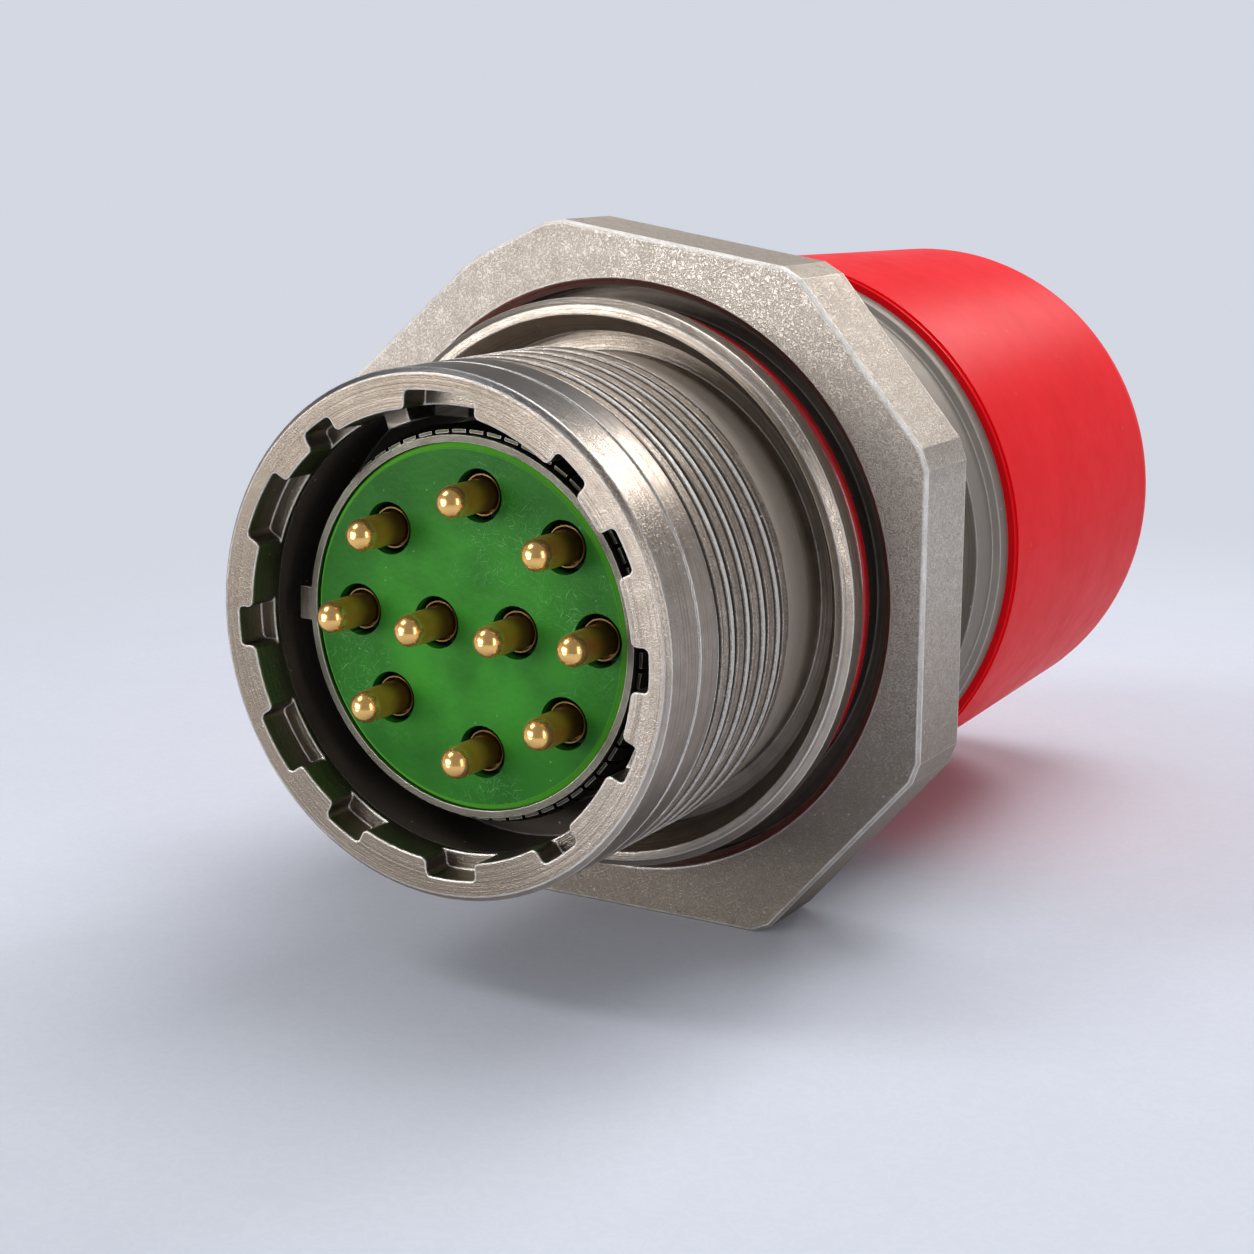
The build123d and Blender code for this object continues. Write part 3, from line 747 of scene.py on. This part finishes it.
# %% Green moulding
GREEN = (0.040, 0.275, 0.020, 1)
GREEN_CLOUD = (0.018, 0.150, 0.010, 1)
GREEN_OUTER_SHADE = (0.010, 0.110, 0.005, 1)
GREEN_RIM_HIGHLIGHT = (0.13, 0.54, 0.04, 1)
GREEN_HAIR = (0.30, 0.70, 0.30, 1)
GREEN_IN_WELL = (0.006, 0.036, 0.024, 1)

green_plastic, tree, shader, coords = finish("green_plastic", Specular_IOR_Level=0.14)
at = place(tree, ruler, Vector=coords)
drift = place(tree, cloud, Vector=coords, Size=3.2)["Value"]
fine = place(tree, cloud, Vector=coords, Size=0.35)["Value"]
patch = place(tree, cloud, Vector=coords, Size=6.0)["Value"]
hairs = place(tree, scratches, Vector=coords, Length=0.8, Width=0.045)["Mask"]
hairs = times(tree, hairs, mask(tree, patch, 0.52, 0.66))
dust = place(tree, specks, Vector=coords, Size=0.45, Share=0.12)["Mask"]
tone = layered(
    tree, GREEN,
    (mask(tree, drift, 0.25, 0.80), GREEN_CLOUD),
    # Painted shade: darker away from the middle.
    (times(tree, mask(tree, at["Radius"], 3.5, 8.5), 0.60), GREEN_OUTER_SHADE),
    # Painted highlight along the rim.
    (times(tree, mask(tree, at["Radius"], 9.05, 9.20), 0.90), GREEN_RIM_HIGHLIGHT),
    (times(tree, largest(tree, hairs, dust), 0.40), GREEN_HAIR),
    (mask(tree, at["Along"], -14.50, -13.60), GREEN_IN_WELL),
)
gloss = plus(tree, spread(tree, drift, 0.34, 0.46), (hairs, 0.15))
feed(tree, shader, Base_Color=tone, Roughness=gloss, Normal=emboss(tree, fine, 0.020))
print("finish", green_plastic.name)

# %% [markdown]
# Two reds. The O-ring is glossy rubber, wet-looking where lamps catch it. The cap is softer plastic
# with a low sheen: its skin has a broad, shallow orange peel and a few pale rubs, and the rounding
# at its closed end carries a painted sheen.

# %% Red rubber and red plastic
RUBBER_RED = (0.56, 0.012, 0.016, 1)
RUBBER_RED_DULL = (0.36, 0.008, 0.010, 1)
CAP_RED = (0.93, 0.008, 0.014, 1)
CAP_RED_DULL = (0.76, 0.004, 0.008, 1)
CAP_ROUNDING_SHEEN = (1.0, 0.30, 0.32, 1)
CAP_RUBS = (0.9, 0.3, 0.3, 1)
CAP_ZONES = {"far_edge": [("Along", 43.0, 44.6), ("Radius", 12.6, 14.6)]}

red_rubber, tree, shader, coords = finish("red_rubber", Coat_Roughness=0.1)
drift = place(tree, cloud, Vector=coords, Size=1.5)["Value"]
feed(tree, shader, Base_Color=mix(tree, drift, RUBBER_RED, RUBBER_RED_DULL),
     Roughness=spread(tree, drift, 0.16, 0.28), Coat_Weight=spread(tree, drift, 0.5, 0.2))

red_plastic, tree, shader, coords = finish("red_plastic", Specular_IOR_Level=0.045)
zone = zone_masks(tree, place(tree, ruler, Vector=coords), CAP_ZONES)
drift = place(tree, cloud, Vector=coords, Size=6.0)["Value"]
peel = place(tree, cloud, Vector=coords, Size=1.5)["Value"]
rubs = place(tree, specks, Vector=coords, Size=1.4, Share=0.15)["Mask"]
tone = layered(
    tree, CAP_RED,
    (drift, CAP_RED_DULL),
    # Painted sheen on the rounding at the closed end.
    (times(tree, zone["far_edge"], 0.24), CAP_ROUNDING_SHEEN),
    (times(tree, rubs, 0.15), CAP_RUBS),
)
gloss = plus(tree, spread(tree, drift, 0.26, 0.36), (peel, 0.14))
feed(tree, shader, Base_Color=tone, Roughness=gloss, Normal=emboss(tree, peel, 0.028))
print("finishes", red_rubber.name, red_plastic.name)

# %% [markdown]
# Last, the two dark pieces inside, seen only from the rear when the cap is off: the hard carrier
# that holds the clips, and the soft grommet that seals the wires.

# %% Dark moulding and grommet rubber
CARRIER = (0.030, 0.045, 0.040, 1)
CARRIER_DULL = (0.015, 0.025, 0.022, 1)
GROMMET = (0.045, 0.045, 0.050, 1)
GROMMET_DULL = (0.020, 0.020, 0.024, 1)

dark_plastic, tree, shader, coords = finish("dark_plastic")
drift = place(tree, cloud, Vector=coords, Size=1.5)["Value"]
feed(tree, shader, Base_Color=mix(tree, drift, CARRIER, CARRIER_DULL),
     Roughness=spread(tree, drift, 0.40, 0.55))

grommet_rubber, tree, shader, coords = finish("grommet_rubber")
drift = place(tree, cloud, Vector=coords, Size=0.8)["Value"]
feed(tree, shader, Base_Color=mix(tree, drift, GROMMET, GROMMET_DULL),
     Roughness=spread(tree, drift, 0.55, 0.75), Normal=emboss(tree, drift, 0.02))
print("finishes", dark_plastic.name, grommet_rubber.name)

# %% [markdown]
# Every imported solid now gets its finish. The mesh itself isn't touched.

# %% Finishes on the solids
FINISH_OF = {
    "shell": steel,
    "panel_o_ring": red_rubber,
    "insert_sleeve": sleeve_metal,
    "snap_ring": sleeve_metal,
    "grounding_fingers": spring_metal,
    "contact_clips": spring_metal,
    "front_insert": green_plastic,
    "contact_carrier": dark_plastic,
    "wire_grommet": grommet_rubber,
    "dust_cap": red_plastic,
}
for name, solid in nodes.items():
    solid.data.materials.clear()
    solid.data.materials.append(FINISH_OF.get(name, gold_plate))
print(len(nodes), "solids have a finish")

# %% [markdown]
# The studio: a pale world, a floor that melts into it, and soft lamps. The camera and mirrors see
# the backdrop's colour, which darkens overhead and behind the camera as a real studio does, while
# matt surfaces get a dimmer light, so that the lamps can shape them.

# %% World
BACKDROP = (0.655, 0.685, 0.765, 1)
DIM_BACKDROP = (0.24, 0.24, 0.26, 1)
AMBIENT = (0.93, 0.95, 1.0, 1)
AMBIENT_STRENGTH = 0.29

world = bpy.data.worlds.new("studio")
bpy.context.scene.world = world
world.use_nodes = True
tree = world.node_tree
direction = put(tree, "SeparateXYZ", {0: put(tree, "TexCoord").outputs["Generated"]}).outputs
ceiling = mask(tree, direction[2], 0.08, 0.40)
behind_camera = mask(tree, direction[1], 0.1, -0.7)
backdrop = mix(tree, largest(tree, ceiling, behind_camera), BACKDROP, DIM_BACKDROP)
seen = put(tree, "Background", {"Color": backdrop, "Strength": 1.0}).outputs[0]
ambient = tree.nodes["Background"]
ambient.inputs["Color"].default_value = AMBIENT
ambient.inputs["Strength"].default_value = AMBIENT_STRENGTH
ray = put(tree, "LightPath").outputs
shown = largest(tree, ray["Is Camera Ray"], ray["Is Glossy Ray"], ray["Is Transmission Ray"])
sky = put(tree, "MixShader", {0: shown, 1: ambient.outputs[0], 2: seen}).outputs[0]
tree.links.new(sky, tree.nodes["World Output"].inputs["Surface"])
print("world", world.name)

# %% [markdown]
# Near the part the floor is an ordinary matt surface and takes the shadow. Farther out it turns
# clear, so that the world behind shows and no horizon is left.

# %% Floor
FLOOR_Z = solid_box[0][2]
FLOOR_HALF_WIDTH = 1500 * MM
FLOOR_SOLID_UP_TO = 55 * MM
FLOOR_CLEAR_FROM = 150 * MM
FLOOR_TONE = (0.67, 0.70, 0.78, 1)
FLOOR_MOTTLE = (0.64, 0.67, 0.75, 1)
FLOOR_WEAVE = (0.60, 0.63, 0.71, 1)

floor_mesh = bpy.data.meshes.new("studio_floor")
corner = np.array([(-1, -1), (1, -1), (1, 1), (-1, 1)]) * FLOOR_HALF_WIDTH
floor_mesh.from_pydata([(x, y, FLOOR_Z) for x, y in corner.tolist()], [], [(0, 1, 2, 3)])
floor = bpy.data.objects.new("studio_floor", floor_mesh)
bpy.context.scene.collection.objects.link(floor)

floor_paint, tree, shader, coords = finish("floor_paint", Roughness=0.9, Specular_IOR_Level=0.1)
mottle = place(tree, cloud, Vector=coords, Size=6.0)["Value"]
weave = place(tree, grain, Vector=coords, Size=1.1)["Height"]
tone = layered(
    tree, FLOOR_TONE,
    (mottle, FLOOR_MOTTLE),
    (spread(tree, weave, 0.0, 0.35), FLOOR_WEAVE),
)
distance = put(tree, "VectorMath", {0: coords}, operation="LENGTH").outputs["Value"]
opaque = mask(tree, distance, FLOOR_CLEAR_FROM, FLOOR_SOLID_UP_TO)
feed(tree, shader, Base_Color=tone, Alpha=opaque)
floor_mesh.materials.append(floor_paint)
print("floor at", round(FLOOR_Z / MM, 2), "mm")

# %% [markdown]
# Five lamps. The largest hangs overhead, a little behind the part, so that the shadow lies under
# the barrel and towards the camera. A small one lower behind makes the narrow highlight along the
# barrel's shoulder. A panel that stands low in front on the left is mirrored in the faces that look
# at the camera, and brightens their upper left. A weak key fills the left, and a tall strip on the
# right draws bright lines on the thread's lips and the collar.

# %% Lamps
def softbox(name, place_mm, aim_mm, width_mm, height_mm, watts):
    """A rectangular lamp at a place, facing a point."""
    lamp = bpy.data.lights.new(name, "AREA")
    lamp.shape = "RECTANGLE"
    lamp.size = width_mm * MM
    lamp.size_y = height_mm * MM
    lamp.energy = watts
    holder = bpy.data.objects.new(name, lamp)
    holder.location = Vector(place_mm) * MM
    toward = Vector(aim_mm) - Vector(place_mm)
    holder.rotation_euler = toward.to_track_quat("-Z", "Y").to_euler()
    bpy.context.scene.collection.objects.link(holder)


softbox("overhead", (40, 90, 300), (0, 5, 0), 220, 190, 0.55)
softbox("shoulder", (60, 255, 160), (5, 0, 0), 85, 70, 0.29)
softbox("front_panel", (-165, -255, 36), (0, 0, 5), 190, 100, 0.46)
softbox("key", (-170, -150, 260), (0, 0, 0), 110, 110, 0.27)
softbox("strip", (260, -130, 60), (0, -5, 0), 40, 180, 0.14)
